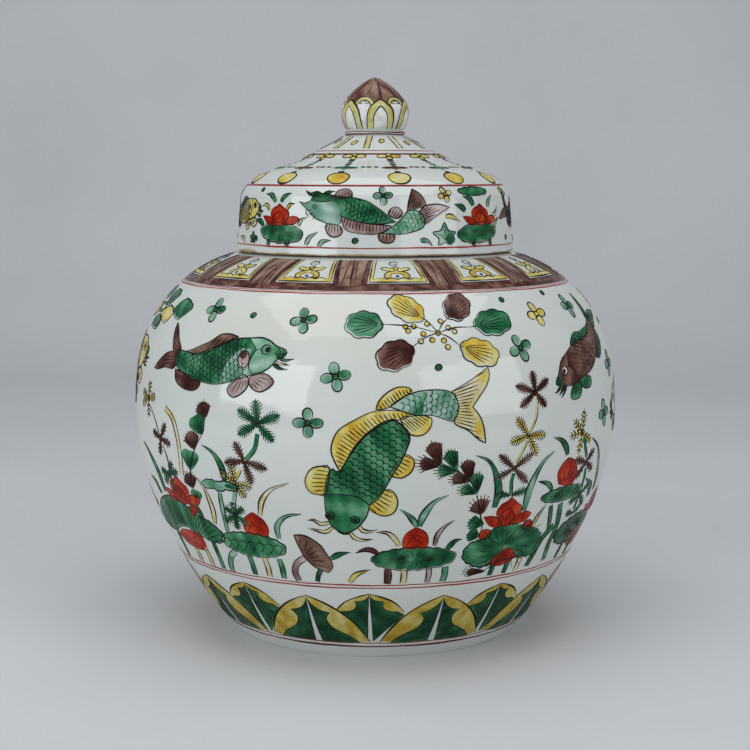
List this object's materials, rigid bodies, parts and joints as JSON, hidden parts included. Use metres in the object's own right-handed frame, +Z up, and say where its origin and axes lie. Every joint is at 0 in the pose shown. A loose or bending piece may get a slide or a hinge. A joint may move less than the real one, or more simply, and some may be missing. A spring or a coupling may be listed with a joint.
{
  "type": "ginger jar",
  "caption": "Broad ovoid porcelain jar with a low turned foot, painted in enamels, with a cap lid that lifts off by its lotus-bud finial.",
  "frame": {"origin": "centre of the foot ring's underside, on the surface that the jar stands on", "axes": "+Z up along the jar's axis of symmetry; the front of the painting, with the diving green carp, faces -Y"},
  "size_m": [0.317, 0.317, 0.3604],
  "materials": {
    "body_porcelain": "glossy bluish-white glaze with overglaze enamel painting in green, yellow, aubergine and iron red",
    "lid_porcelain": "glossy bluish-white glaze with overglaze enamel painting, unglazed brown rim",
    "finial_enamel": "aubergine enamel brushed over white glaze, with painted petals"
  },
  "bodies": {
    "jar": {"lower_section": "body_porcelain", "upper_section": "body_porcelain", "neck_ring": "body_porcelain"},
    "lid": {"lid_cap": "lid_porcelain", "finial": "finial_enamel"}
  },
  "joints": [
    {"name": "lid_lift", "type": "slide", "parent": "jar", "child": "lid", "axis": [0, 0, 1], "range_m": [0, 0.1]}
  ]
}
